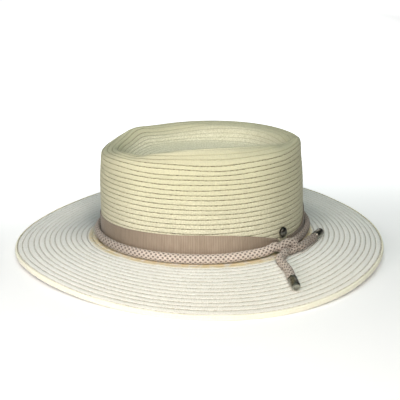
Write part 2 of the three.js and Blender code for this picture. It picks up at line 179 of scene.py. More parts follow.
def eased(low: np.ndarray, slope_low: np.ndarray, high: np.ndarray, slope_high: np.ndarray,
          t: np.ndarray) -> np.ndarray:
    """A smooth curve between two values, with a slope at each.

    Args:
        low: The value at 0.
        slope_low: The slope at 0.
        high: The value at 1.
        slope_high: The slope at 1.
        t: Where the curve is asked for, from 0 to 1.

    Returns:
        The values on the curve.
    """
    return (
        low * (2 * t**3 - 3 * t**2 + 1) + slope_low * (t**3 - 2 * t**2 + t)
        + high * (3 * t**2 - 2 * t**3) + slope_high * (t**3 - t**2)
    )


def along_rows(table: np.ndarray, rows: np.ndarray) -> np.ndarray:
    """Values of a table's columns at fractional rows, on a smooth curve through the rows.

    Args:
        table: One line for each row.
        rows: The fractional rows, of any shape.

    Returns:
        The values, with one more axis for the columns.
    """
    last = len(table) - 1
    start = np.clip(np.floor(rows).astype(int), 0, last - 1)
    t = (rows - start)[..., None]
    before, low, high, after = (table[np.clip(start + k, 0, last)] for k in (-1, 0, 1, 2))
    return eased(low, (high - before) / 2, high, (after - low) / 2, t)


def run_along(line: np.ndarray) -> np.ndarray:
    """How far along a line each of its points is."""
    return np.concatenate([[0], np.cumsum(np.linalg.norm(np.diff(line, axis=0), axis=1))])


def all_round(columns: int) -> np.ndarray:
    """Angles once round the hat, from its front back to its front, with both ends."""
    return np.linspace(-math.pi, math.pi, columns + 1)


def grid_normals(points: np.ndarray) -> np.ndarray:
    """Unit normals of a grid of points, to the left of its rows.

    Args:
        points: The grid, as rows, columns and three coordinates.

    Returns:
        The normals, of the same shape.
    """
    along = np.gradient(points, axis=1)
    along[:, 0] = along[:, -1] = points[:, 1] - points[:, -2]
    normals = np.cross(along, np.gradient(points, axis=0))
    length = np.linalg.norm(normals, axis=2, keepdims=True)
    return normals / np.maximum(length, LEAST_LENGTH)


def spreads_from(angles: np.ndarray, middle: float, spread: float) -> np.ndarray:
    """How many spreads angles in radians are from a middle; both of those are in degrees."""
    turn = angles - math.radians(middle)
    return np.arctan2(np.sin(turn), np.cos(turn)) / math.radians(spread)


def hashed(index: np.ndarray | int, salt: float) -> np.ndarray:
    """A fixed number from 0 to 1 for each whole number; the salt chooses another series."""
    phase = (np.asarray(index) + HASH_SHIFT) * HASH_STEP + salt * HASH_SALT
    return np.modf(np.abs(np.sin(phase)) * HASH_STRETCH)[0]


@dataclass(frozen=True)
class CrownForm:
    """The crown's surface: the same sections and folds as the solid's."""

    slope_step: float = 0.02
    height_steps: int = 50

    def local(self, rows: np.ndarray, angles: np.ndarray) -> np.ndarray:
        """Points of the outside in the crown's own frame, in millimetres.

        Args:
            rows: Fractional rows of the section table; past the floor they run to the tip's middle.
            angles: Angles round the crown, in radians.

        Returns:
            The points.
        """
        rows, angles = np.broadcast_arrays(np.asarray(rows, float), np.asarray(angles, float))
        columns = along_rows(CROWN_SECTIONS, np.minimum(rows, FLOOR_ROW))
        height, length, width, forward, sideways, egg, tilt, side, saddle = np.moveaxis(columns, -1, 0)
        inward = np.clip(rows - FLOOR_ROW, 0, 1)
        floor_length, floor_width = CROWN_SECTIONS[int(FLOOR_ROW), 1:3]
        tip_width = floor_width * (1 - inward)
        length = np.where(inward > 0, floor_length - floor_width + tip_width, length)
        width = np.where(inward > 0, tip_width, width)
        height = height - TIP_SINK * inward
        c, s = np.cos(angles), np.sin(angles)
        x, y = length * c, width * s * (1 + egg * c)
        z = height + tilt * c + side * s + saddle * np.cos(2 * angles)
        spoke = np.maximum(np.hypot(x, y), LEAST_SPOKE)
        points = np.stack([forward + x, sideways + y, z], axis=-1)
        for angle, spread, row, reach, push, drop in CROWN_FOLDS:
            across = spreads_from(angles, angle, spread)
            weight = np.exp(-across**2 - ((rows - row) / reach) ** 2)
            points[..., 0] -= x / spoke * push * weight
            points[..., 1] -= y / spoke * push * weight
            points[..., 2] -= drop * weight
        return points

    def outward(self, rows: np.ndarray, angles: np.ndarray) -> np.ndarray:
        """The level outward directions of the wall.

        Args:
            rows: Fractional rows.
            angles: Angles in radians.

        Returns:
            Unit directions in the crown's own frame.
        """
        step = self.local(rows, angles + self.slope_step) - self.local(rows, angles - self.slope_step)
        out = np.stack([step[..., 1], -step[..., 0], np.zeros_like(step[..., 0])], axis=-1)
        return out / np.linalg.norm(out, axis=-1, keepdims=True)

    def wall(self, angles: np.ndarray, heights: np.ndarray, outs: np.ndarray) -> np.ndarray:
        """Points off the upright wall.

        Args:
            angles: Angles round the crown, in radians.
            heights: Heights in the crown's own frame.
            outs: Distances out from the straw.

        Returns:
            The points in the crown's own frame.
        """
        angles, heights, outs = np.broadcast_arrays(*map(np.asarray, (angles, heights, outs)))
        rows = np.linspace(BASE_ROW, RIM_ROW, self.height_steps)
        line = self.local(rows[:, None], angles.reshape(1, -1))[..., 2]
        found = np.array([np.interp(*pair, rows) for pair in zip(heights.ravel(), line.T)])
        found = found.reshape(angles.shape)
        points = self.local(found, angles) + self.outward(found, angles) * outs[..., None]
        points[..., 2] = heights
        return points

    @staticmethod
    def to_world(points: np.ndarray) -> np.ndarray:
        """Lean points of the crown's own frame into the hat's frame.

        Args:
            points: Points in millimetres.

        Returns:
            The same points in the hat's frame.
        """
        side_turn, front_turn = math.radians(LEAN_SIDEWAYS), math.radians(LEAN_FORWARD)
        c, s = math.cos(side_turn), math.sin(side_turn)
        sideways = np.array([[1, 0, 0], [0, c, -s], [0, s, c]])
        c, s = math.cos(front_turn), math.sin(front_turn)
        forward = np.array([[c, 0, s], [0, 1, 0], [-s, 0, c]])
        return points @ (sideways @ forward).T + np.array([0, 0, CROWN_LIFT])


@dataclass(frozen=True)
class BrimForm:
    """The brim's upper face and the line of its edge, as in the solid."""

    crown: CrownForm = CrownForm()

    def edge(self, angles: np.ndarray, inset: np.ndarray, rise: np.ndarray) -> np.ndarray:
        """The hat's outermost line.

        Args:
            angles: Angles round the hat, in radians.
            inset: Distance inwards from the outermost line.
            rise: Height above the edge's foot.

        Returns:
            Points in millimetres.
        """
        c, s = np.cos(angles), np.sin(angles)
        waves = [high * np.exp(-spreads_from(angles, *wave) ** 2) for *wave, high in EDGE_WAVES]
        foot = np.maximum(sum(waves) - EDGE_SETTLE, 0)
        inwards = inset + BRIM_CORNERS * (1 - np.cos(4 * angles))
        x = (BRIM_HALF_LENGTH - inwards) * c
        y = (BRIM_HALF_WIDTH - inwards) * s * (1 + BRIM_EGG * c)
        return np.stack(np.broadcast_arrays(x, y, foot + rise), axis=-1)

    def top(self, angles: np.ndarray, share: np.ndarray) -> np.ndarray:
        """The brim's upper face.

        Args:
            angles: Angles round the hat, in radians.
            share: The share of the way from the crown's foot to the edge row.

        Returns:
            Points in millimetres.
        """
        angles, share = np.broadcast_arrays(np.asarray(angles, float), np.asarray(share, float))
        inner = self.crown.local(np.zeros_like(angles), angles)
        radius = np.hypot(inner[..., 0], inner[..., 1])
        inner[..., :2] *= (1 + CLEARANCE / radius)[..., None]
        inner = self.crown.to_world(inner)
        outer = self.edge(angles, EDGE_THICKNESS + CLEARANCE, EDGE_BAND - EDGE_LAP)
        points = inner + (outer - inner) * share[..., None]
        points[..., 2] += BRIM_ARCH * 4 * share * (1 - share)
        return points


class Bench:
    """What the pieces are modelled with: primitives, edit-mode operators and modifiers."""

    @staticmethod
    def clear() -> None:
        """Deselect everything, in object mode."""
        if bpy.context.object is not None and bpy.context.object.mode != "OBJECT":
            bpy.ops.object.mode_set(mode="OBJECT")
        bpy.ops.object.select_all(action="DESELECT")

    @staticmethod
    def pick(piece: bpy.types.Object) -> None:
        """Select one piece and nothing else, and make it the active one.

        Args:
            piece: The object.
        """
        Bench.clear()
        piece.select_set(True)
        bpy.context.view_layer.objects.active = piece

    @staticmethod
    def named(name: str) -> bpy.types.Object:
        """Name the object that was just added, and its mesh.

        Args:
            name: The name of both.

        Returns:
            The object.
        """
        piece = bpy.context.object
        piece.name = name
        piece.data.name = name
        return piece

    @staticmethod
    def bent_grid(name: str, points: np.ndarray, u: np.ndarray, v: np.ndarray) -> bpy.types.Object:
        """Add a grid and lay its points on a surface, with a UV map in the surface's own units.

        Args:
            name: The new object's name.
            points: Rows and columns of points in metres; the faces of a closed form may point in.
            u: U along the columns, for each row of faces.
            v: V at each row of points.

        Returns:
            The object, in object mode.
        """
        a, b, c, d = points[:-1, :-1], points[:-1, 1:], points[1:, 1:], points[1:, :-1]
        volume = (a * np.cross(b, c)).sum() + (a * np.cross(c, d)).sum()
        if volume < 0:
            points, u = points[:, ::-1], u[:, ::-1]
        rows, columns = points.shape[:2]
        Bench.clear()
        bpy.ops.mesh.primitive_grid_add(x_subdivisions=columns - 1, y_subdivisions=rows - 1, size=1)
        piece = Bench.named(name)
        mesh = piece.data
        if len(mesh.vertices) != rows * columns:
            raise ValueError(f"{name}: the grid has {len(mesh.vertices)} points")
        mesh.vertices.foreach_set("co", np.ascontiguousarray(points, np.float32).ravel())
        corner = np.empty(len(mesh.loops), np.int32)
        mesh.loops.foreach_get("vertex_index", corner)
        row, column = corner // columns, corner % columns
        face_row = np.repeat(row.reshape(-1, 4).min(axis=1), 4)
        layout = np.stack([u[face_row, column], v[row]], axis=1).astype(np.float32)
        mesh.uv_layers[0].data.foreach_set("uv", layout.ravel())
        mesh.update()
        return piece

    @staticmethod
    def close(piece: bpy.types.Object, fill: bool = False) -> None:
        """Merge a piece's seams and poles, and fill its open ends.

        Args:
            piece: The object.
            fill: Whether open ends get a face.
        """
        Bench.pick(piece)
        bpy.ops.object.mode_set(mode="EDIT")
        bpy.ops.mesh.select_all(action="SELECT")
        bpy.ops.mesh.remove_doubles(threshold=SEAM_GAP)
        if fill:
            bpy.ops.mesh.fill_holes(sides=0)
        bpy.ops.object.mode_set(mode="OBJECT")

    @staticmethod
    def dress(piece: bpy.types.Object, finish: bpy.types.Material, degrees: float = 180.0) -> None:
        """Shade a piece smooth and give it its finish, as the last step of its mesh.

        Args:
            piece: The object.
            finish: Its material.
            degrees: The angle between two faces past which their edge stays sharp.
        """
        Bench.pick(piece)
        bpy.ops.object.shade_smooth_by_angle(angle=math.radians(degrees))
        Bench.clear()
        piece.data.materials.append(finish)

    @staticmethod
    def apply(piece: bpy.types.Object, kind: str, **settings: Any) -> None:
        """Add a modifier and apply it.

        Args:
            piece: The object.
            kind: The modifier's type.
            settings: Its values.
        """
        Bench.pick(piece)
        modifier = piece.modifiers.new(kind.lower(), kind)
        for name, value in settings.items():
            setattr(modifier, name, value)
        bpy.ops.object.modifier_apply(modifier=modifier.name)

    @staticmethod
    def turned(name: str, profile: list[Span], sides: int) -> bpy.types.Object:
        """Raise a round form from a circle by extruding and resizing its rim, as on a lathe.

        Args:
            name: The object's name.
            profile: Radius and height of each step, in millimetres; the ends are closed.
            sides: Corners of the circle.

        Returns:
            The object, standing on the origin along +Z.
        """
        Bench.clear()
        radius, height = profile[0]
        bpy.ops.mesh.primitive_circle_add(
            vertices=sides, radius=radius * MM, location=(0, 0, height * MM), fill_type="NGON"
        )
        piece = Bench.named(name)
        bpy.ops.object.transform_apply(location=True, rotation=True, scale=True)
        bpy.ops.object.mode_set(mode="EDIT")
        bpy.ops.mesh.select_all(action="SELECT")
        for wider, higher in profile[1:]:
            rise = (0, 0, (higher - height) * MM)
            bpy.ops.mesh.extrude_region_move(TRANSFORM_OT_translate={"value": rise})
            share = wider / radius
            bpy.ops.transform.resize(value=(share, share, 1), center_override=(0, 0, higher * MM))
            radius, height = wider, higher
        bpy.ops.mesh.select_all(action="SELECT")
        bpy.ops.mesh.normals_make_consistent(inside=False)
        bpy.ops.object.mode_set(mode="OBJECT")
        return piece

    @staticmethod
    def place(piece: bpy.types.Object, matrix: Matrix) -> None:
        """Move a finished piece to its place, in its mesh.

        Args:
            piece: The object.
            matrix: Its place, turn and scale.
        """
        Bench.pick(piece)
        piece.matrix_world = matrix
        bpy.ops.object.transform_apply(location=True, rotation=True, scale=True)


class Nodes:
    """A material's node tree, and the one method that adds a node to it."""

    def __init__(self, name: str) -> None:
        """Make the material with its shader and output.

        Args:
            name: The material's name.
        """
        self.material = bpy.data.materials.new(name)
        self.material.use_nodes = True
        self.tree = self.material.node_tree
        self.shader = self.tree.nodes["Principled BSDF"]

    def add(self, kind: str, settings: dict[str, Any] | None = None,
            inputs: dict[Any, Any] | None = None) -> bpy.types.Node:
        """Add a node, set it, and fill or link its sockets.

        Args:
            kind: The node's type.
            settings: Its properties.
            inputs: Values, Value objects or sockets, by socket name or index.

        Returns:
            The node.
        """
        node = self.tree.nodes.new(kind)
        for key, value in (settings or {}).items():
            setattr(node, key, value)
        for key, value in (inputs or {}).items():
            self.feed(node.inputs[key], value)
        return node

    def feed(self, socket: bpy.types.NodeSocket, value: Any) -> None:
        """Give a socket a plain value, or link it.

        Args:
            socket: The socket to fill.
            value: A number or colour, a Value, or another socket.
        """
        if isinstance(value, Value):
            self.tree.links.new(value.socket, socket)
        elif isinstance(value, bpy.types.NodeSocket):
            self.tree.links.new(value, socket)
        elif socket.type == "RGBA" and len(value) == 3:
            socket.default_value = (*value, 1)
        else:
            socket.default_value = value

    def parts(self, socket: bpy.types.NodeSocket) -> list["Value"]:
        """The three parts of a vector's socket, as values."""
        split = self.add("ShaderNodeSeparateXYZ", inputs={0: socket})
        return [Value(self, output) for output in split.outputs]

    def surface_map(self) -> list["Value"]:
        """U and V of the piece's own UV map, as two values."""
        return self.parts(self.add("ShaderNodeTexCoord").outputs["UV"])[:2]

    def place(self) -> list["Value"]:
        """X and Y of the surface in the hat's frame, in metres, as two values."""
        return self.parts(self.add("ShaderNodeTexCoord").outputs["Object"])[:2]

    def noise(self, scale: float, detail: float = 2.0, stretch: Row = (1, 1, 1),
              by_map: bool = False) -> "Value":
        """Noise over the object's place, or over its UV map.

        Args:
            scale: Cells for each metre or map unit.
            detail: Octaves.
            stretch: Scale of each axis.
            by_map: Whether it reads the UV map.

        Returns:
            A value round 0.5.
        """
        source = self.add("ShaderNodeTexCoord").outputs["UV" if by_map else "Object"]
        mapping = self.add("ShaderNodeMapping", inputs={"Vector": source, "Scale": stretch})
        made = self.add("ShaderNodeTexNoise", inputs={
            "Vector": mapping.outputs[0], "Scale": scale, "Detail": detail, "Roughness": 0.55,
        })
        return Value(self, made.outputs[0])

    def mix(self, factor: Any, first: Any, second: Any, blend: str = "MIX") -> bpy.types.NodeSocket:
        """The colour between two others, which is the first at a factor of 0 and the second at 1."""
        settings = {"data_type": "RGBA", "blend_type": blend, "clamp_factor": True}
        return self.add("ShaderNodeMix", settings, {0: factor, 6: first, 7: second}).outputs[2]

    def bump(self, height: "Value", distance: float) -> bpy.types.NodeSocket:
        """The normal of a bumped surface; a height of 1 stands out by the distance, in metres."""
        sockets = {"Height": height, "Distance": distance, "Strength": 1.0}
        return self.add("ShaderNodeBump", inputs=sockets).outputs[0]

    def finished(self, sockets: dict[str, Any]) -> bpy.types.Material:
        """Fill the shader's sockets.

        Args:
            sockets: Numbers, Value objects or sockets, by the shader's socket name.

        Returns:
            The material.
        """
        for name, value in sockets.items():
            self.feed(self.shader.inputs[name], value)
        return self.material


class Value:
    """A number that changes over a surface; its operators add Math nodes."""

    def __init__(self, nodes: Nodes, socket: bpy.types.NodeSocket) -> None:
        """Wrap a socket of a material."""
        self.nodes = nodes
        self.socket = socket

    def _maths(self, operation: str, *operands: Any) -> "Value":
        """Add a Math node on the operands."""
        node = self.nodes.add("ShaderNodeMath", {"operation": operation}, dict(enumerate(operands)))
        return Value(self.nodes, node.outputs[0])

    def __add__(self, other: Any) -> "Value":
        """Sum."""
        return self._maths("ADD", self, other)

    __radd__ = __add__

    def __sub__(self, other: Any) -> "Value":
        """Difference."""
        return self._maths("SUBTRACT", self, other)

    def __rsub__(self, other: Any) -> "Value":
        """Difference from a number."""
        return self._maths("SUBTRACT", other, self)

    def __neg__(self) -> "Value":
        """The same with the other sign."""
        return self._maths("MULTIPLY", self, -1.0)

    def __mul__(self, other: Any) -> "Value":
        """Product."""
        return self._maths("MULTIPLY", self, other)

    __rmul__ = __mul__

    def __abs__(self) -> "Value":
        """Distance from nought."""
        return self._maths("ABSOLUTE", self)

    def wave(self) -> "Value":
        """The sine of this many whole turns."""
        return self._maths("SINE", self * (2 * math.pi))

    def rest(self) -> "Value":
        """What is left over the whole number below."""
        return self._maths("FRACT", self)

    def most(self, other: Any) -> "Value":
        """The larger of two."""
        return self._maths("MAXIMUM", self, other)

    def least(self, other: Any) -> "Value":
        """The smaller of two."""
        return self._maths("MINIMUM", self, other)

    def step(self, low: float, high: float) -> "Value":
        """A smooth step from 0 at low to 1 at high.

        Args:
            low: Where it starts.
            high: Where it ends.

        Returns:
            The step.
        """
        node = self.nodes.add("ShaderNodeMapRange", {"interpolation_type": "SMOOTHSTEP"}, {
            "Value": self, "From Min": low, "From Max": high, "To Min": 0.0, "To Max": 1.0,
        })
        return Value(self.nodes, node.outputs[0])


# A span of rows that no piece reaches
PAST_ALL_ROWS: Span = (90.0, 99.0)


@dataclass(frozen=True)
class StrawFinish:
    """Sewn paper braid: U counts strands along a row, V counts rows from the first.

    The spans of rows are counted in V. The others are metres from the middle of the hat: towards its
    front for brow and front_flank, its back for back_flank, and the side that the photograph hides for
    far_side. The shadow behind the crown fades over shadow_rim, in square metres round the middle.
    """

    name: str = "crown_braid"
    light: Colour = (0.87, 0.85, 0.675)
    shade: Colour = (0.60, 0.58, 0.40)
    warm: Colour = (0.665, 0.65, 0.425)
    groove: Colour = (0.30, 0.265, 0.14)
    needle: Colour = (0.12, 0.095, 0.045)
    # Painted warm tone: shade under the cord at the foot, and warm light on the brim's near side
    painted_warm_tone: Colour = (0.76, 0.62, 0.33)
    # Painted shade where the crown turns away from the light
    painted_flank_shade: Colour = (0.36, 0.35, 0.24)
    shadow: Colour = (0.25, 0.30, 0.31)
    groove_width: float = 0.1
    shaded_foot_rows: float = 0.2
    warm_rows: Span = (1.0, 17.0)
    cooler_rows: Span = (21.0, 24.0)
    calm_rows: Span = (19.0, 20.5)
    inner_rows: tuple[Span, Span] = ((18.5, 20.0), (22.5, 24.5))
    inner_flanks: float = 0.5
    brow: Span = (0.02, 0.06)
    front_flank: Span = (0.065, 0.1)
    back_flank: Span = (0.035, 0.085)
    flank_shade_share: float = 0.48
    far_side: Span = (-0.03, 0.05)
    shadow_rim: Span = (0.011, 0.028)
    shadow_depth: float = 1.5
    shaded: float = 0.0
    # Painted warm light on the brim's near side: where it starts, over what width, and how strong
    near_warmth_from: float = 0.0
    near_warmth_over: float = 0.1
    painted_near_warmth: float = 0.0
    speck_scale: float = 620.0
    foot_shade_patch_scale: float = 160.0
    wear_scale: float = 90.0
    tone_scale: float = 24.0
    strand_scale: float = 1.8
    hole_scale: float = 1.15
    hole_chance: Span = (0.5, 0.6)
    hole_reach: Span = (0.05, 0.15)
    foot_shade_fade: float = 0.6
    relief: float = 0.0005

    def make(self) -> bpy.types.Material:
        """Build the material from its rows, its wear, and the painted light and shade that go by its
        places.

        Returns:
            The material.
        """
        nodes = Nodes(self.name)
        u, v = nodes.surface_map()
        front, near = (-part for part in nodes.place())
        across = v.rest()
        edge = across.least(1 - across)
        weave = (u + across * 2).wave() * (u - across * 2).wave()
        strand = nodes.noise(self.strand_scale, 1, (1, 4, 1), by_map=True)
        speck = nodes.noise(self.speck_scale, 1)
        calm = v.step(*self.calm_rows) * (1 - front.step(*self.brow) * 0.6)
        seam = edge.step(0.0, self.groove_width).most(calm * 0.55)
        chance = nodes.noise(self.hole_scale, 1, (1, 9, 1), by_map=True)
        hole = chance.step(*self.hole_chance) * (1 - edge.step(*self.hole_reach)) * (1 - calm)
        fleck = (strand * 0.7 + speck * 0.8 + weave * 0.12 - 0.25).step(0.2, 0.8)
        height = weave * 0.4 + strand * 0.5 + speck * 0.5 + seam * 0.9 + (1 - hole) * 0.7

        warmth = v.step(*self.warm_rows) * (1 - v.step(*self.cooler_rows))
        straw = nodes.mix(warmth, self.light, self.warm)
        straw = nodes.mix(fleck, self.shade, straw)
        straw = nodes.mix(nodes.noise(self.tone_scale, 3).step(0.3, 0.75) * 0.3, straw, self.shade)
        worn = nodes.noise(self.wear_scale, 2).step(0.3, 0.7) * 0.4
        straw = nodes.mix(seam.most(worn), self.groove, straw)
        straw = nodes.mix(hole * 0.9, straw, self.needle)
        # Painted warm shade in patches at the foot of the straw, under the cord
        foot = 1 - v.step(self.shaded_foot_rows - self.foot_shade_fade, self.shaded_foot_rows)
        foot_shade_patches = nodes.noise(self.foot_shade_patch_scale, 2).step(0.2, 0.6) * 0.8
        straw = nodes.mix(foot * foot_shade_patches, straw, self.painted_warm_tone)
        # Painted shade on the crown's front, back and inner wall
        straw = nodes.mix(self._turned_away(front, v) * self.flank_shade_share, straw, self.painted_flank_shade)
        straw = nodes.mix(self._behind_crown(front, near) * self.shaded, straw, self.shadow)
        # Painted warm light on the near side
        near_warmth_mask = near.step(self.near_warmth_from, self.near_warmth_from + self.near_warmth_over)
        straw = nodes.mix(near_warmth_mask * self.painted_near_warmth, straw, self.painted_warm_tone)
        return nodes.finished({
            "Base Color": straw, "Roughness": 0.6 + (1 - fleck) * 0.25, "Specular IOR Level": 0.35,
            "Normal": nodes.bump(height, self.relief),
        })

    def _turned_away(self, front: Value, v: Value) -> Value:
        """Where the crown turns away from the light: its front, its back and its inner wall.

        Args:
            front: Metres towards the front.
            v: Rows of braid.

        Returns:
            A value from 0 to 1.
        """
        start, end = self.inner_rows
        inner = v.step(*start) * (1 - v.step(*end)) * self.inner_flanks
        return (front.step(*self.front_flank) + (-front).step(*self.back_flank)).most(inner)

    def _behind_crown(self, front: Value, near: Value) -> Value:
        """From 0 to 1, where the brim lies behind the crown and close to it."""
        spread = front * front + near * near * self.shadow_depth
        return (1 - spread.step(*self.shadow_rim)) * (-near).step(*self.far_side)


# The brim is paler than the crown, partly as painted light from above; it has painted shade at its foot
# under the cord, a painted shadow behind the crown and painted warm light on its near side
BRIM_STRAW = StrawFinish(
    name="brim_braid", light=(0.92, 0.915, 0.875), shade=(0.85, 0.835, 0.76), warm=(0.92, 0.89, 0.76),
    groove=(0.72, 0.69, 0.61), needle=(0.52, 0.47, 0.36), groove_width=0.14, shaded_foot_rows=2.0,
    warm_rows=PAST_ALL_ROWS, calm_rows=PAST_ALL_ROWS, painted_near_warmth=0.13, near_warmth_from=0.06, flank_shade_share=0.0, shaded=0.7,
)

# The row round the edge is warmer than the brim and has narrower grooves
EDGE_STRAW = StrawFinish(
    name="edge_braid", light=(0.92, 0.90, 0.75), shade=(0.88, 0.85, 0.68), groove=(0.60, 0.54, 0.40),
    needle=(0.5, 0.44, 0.3), groove_width=0.08, shaded_foot_rows=0.0, warm_rows=PAST_ALL_ROWS,
    calm_rows=PAST_ALL_ROWS, flank_shade_share=0.0,
)


@dataclass(frozen=True)
class RibbonFinish:
    """Grosgrain: fine ribs across the ribbon; U counts ribs, V runs from foot to top.

    The spans of painted shade are metres from the middle of the hat, towards its front or its back.
    """

    name: str = "grosgrain"
    rib: Colour = (0.44, 0.355, 0.265)
    valley: Colour = (0.27, 0.205, 0.145)
    # Painted shade, where the ribbon turns away from the light
    painted_shade: Colour = (0.13, 0.10, 0.062)
    threads: float = 60.0
    # Share of the height that is darker at each edge
    dark_edge_share: float = 0.05
    front: Span = (0.03, 0.11)
    back: Span = (0.015, 0.07)
    past_knot: tuple[Span, Span] = ((0.07, 0.095), (-0.09, -0.055))
    cloud_scale: float = 60.0
    relief: float = 0.00025

    def make(self) -> bpy.types.Material:
        """Build the material from its ribs, its edges and the painted shade where it turns away from
        the light.

        Returns:
            The material.
        """
        nodes = Nodes(self.name)
        u, v = nodes.surface_map()
        ribs = u.wave() * 0.5 + 0.5
        thread = (v * self.threads).wave() * 0.5 + 0.5
        slub = nodes.noise(0.9, 2, (1, 1.2, 1), by_map=True)
        cloud = nodes.noise(self.cloud_scale, 3)
        level = (ribs * 0.35 + slub * 0.7 + cloud * 0.35).step(0.25, 1.15)
        colour = nodes.mix(level, self.valley, self.rib)
        # Darker towards both edges
        darker_edges = v.least(1 - v).step(0.0, self.dark_edge_share)
        colour = nodes.mix(darker_edges * 0.3 + 0.7, self.valley, colour)
        # Painted shade at the front, the back, and past the knot
        back, far = nodes.place()
        behind = back.step(*self.past_knot[0]) * far.step(*self.past_knot[1])
        painted_shade = (-back).step(*self.front) + back.step(*self.back) * 0.8 + behind * 0.5
        return nodes.finished({
            "Base Color": nodes.mix(painted_shade * 0.7, colour, self.painted_shade), "Roughness": 0.5 + cloud * 0.2,
            "Sheen Weight": 0.25, "Sheen Roughness": 0.4,
            "Normal": nodes.bump(ribs + thread * 0.2 + slub * 0.5, self.relief),
        })


@dataclass(frozen=True)
class CordFinish:
    """Braided cord: pale strands with dark gaps; U counts its lay, V goes once round.

    The spans of painted shade are metres from the middle of the hat, towards its front or its back.
    """

    name: str = "braided_cord"
    strands: int = 6
    pale: Colour = (0.93, 0.83, 0.73)
    taupe: Colour = (0.50, 0.375, 0.29)
    # Dark gaps between the strands; also painted deep shade past the knot
    gap_and_painted_shade: Colour = (0.13, 0.09, 0.065)
    # Painted shade, multiplied in where the cord turns away from the light
    painted_shade: Colour = (0.53, 0.53, 0.52)
    front: Span = (0.05, 0.105)
    back: Span = (0.045, 0.075)
    past_knot: tuple[Span, Span] = ((0.07, 0.095), (-0.08, -0.055))
    relief: float = 0.0005

    def make(self) -> bpy.types.Material:
        """Build the material from its strands and the painted shade where it turns away from the light.

        Returns:
            The material.
        """
        nodes = Nodes(self.name)
        u, v = nodes.surface_map()
        cells = (u + 0.25).wave() * (v * self.strands + 0.25).wave()
        lay, round_it = u * 2, v * self.strands * 2
        slant = (lay + round_it).wave() * (lay - round_it).wave()
        fibre = nodes.noise(3.5, 2, (3, 20, 1), by_map=True)
        pale = (slant * 0.4 + fibre * 1.1 - 0.05).step(0.1, 0.8)
        deep = (cells + fibre * 0.6 - 0.25).step(0.15, 0.5)
        colour = nodes.mix(pale, self.taupe, self.pale)
        colour = nodes.mix(deep * 0.85, colour, self.gap_and_painted_shade)
        # Painted shade at the front, the back, and deepest past the knot
        back, far = nodes.place()
        behind = back.step(*self.past_knot[0]) * far.step(*self.past_knot[1])
        painted_shade = (-back).step(*self.front) + back.step(*self.back) * 0.8
        colour = nodes.mix(painted_shade.most(behind), colour, self.painted_shade, "MULTIPLY")
        return nodes.finished({
            "Base Color": nodes.mix(behind * 0.4, colour, self.gap_and_painted_shade), "Roughness": 0.6 + fibre * 0.2,
            "Sheen Weight": 0.2, "Normal": nodes.bump(slant * 0.4 + fibre * 0.5 - deep, self.relief),
        })


@dataclass(frozen=True)
class MetalFinish:
    """Polished dark nickel, with a painted reflection of the pale straw where it faces down."""

    name: str = "dark_nickel"
    dark: Colour = (0.20, 0.195, 0.16)
    # Painted reflection of the pale straw below
    painted_straw_reflection: Colour = (0.50, 0.51, 0.46)
    cloud_scale: float = 260.0
    scratch_scale: float = 900.0
    relief: float = 0.00002

    def make(self) -> bpy.types.Material:
        """Build the material from its painted reflection where it faces down, and its scratches.

        Returns:
            The material.
        """
        nodes = Nodes(self.name)
        up = nodes.parts(nodes.add("ShaderNodeNewGeometry").outputs["Normal"])[2]
        cloud = nodes.noise(self.cloud_scale, 3)
        scratch = nodes.noise(self.scratch_scale, 2, (1, 1, 0.12))
        # Painted reflection of the straw where the metal faces down
        straw_reflection_share = 1 - (up + cloud * 0.4 - 0.2).step(-0.35, 0.25)
        return nodes.finished({
            "Base Color": nodes.mix(straw_reflection_share, self.dark, self.painted_straw_reflection), "Metallic": 1.0,
            "Roughness": 0.2 + cloud * 0.1 + scratch * 0.06,
            "Normal": nodes.bump(scratch, self.relief),
        })


# The stud is polished darker than the ferrules
STUD_NICKEL = MetalFinish(name="stud_nickel", dark=(0.045, 0.043, 0.036), painted_straw_reflection=(0.36, 0.37, 0.33))


@dataclass(frozen=True)
class FloorFinish:
    """Pale studio floor with a painted glow, faint near the hat and strong in the strip behind it and
    far round it.

    The strip's spans are metres from the middle of the hat, and far_round is in square metres.
    """

    name: str = "studio_floor"
    colour: Colour = (0.93, 0.93, 0.93)
    darkest: float = 0.985
    near_glow: float = 0.04
    far_glow: float = 0.85
    strip_back: Span = (-0.05, 0.3)
    strip_sides: Span = (0.45, 0.9)
    far_round: Span = (0.7, 2.0)

    def make(self) -> bpy.types.Material:
        """Build the material from its grain and its glow.

        Returns:
            The material.
        """
        nodes = Nodes(self.name)
        darker = tuple(part * self.darkest for part in self.colour)
        across, back = nodes.place()
        strip = back.step(*self.strip_back) * (1 - abs(across).step(*self.strip_sides))
        glow = strip.most((across * across + back * back).step(*self.far_round))
        near, far = ((level,) * 3 for level in (self.near_glow, self.far_glow))
        return nodes.finished({
            "Base Color": nodes.mix(nodes.noise(3, 2), darker, self.colour), "Roughness": 0.9,
            "Emission Color": nodes.mix(glow, near, far), "Emission Strength": 1.0,
        })


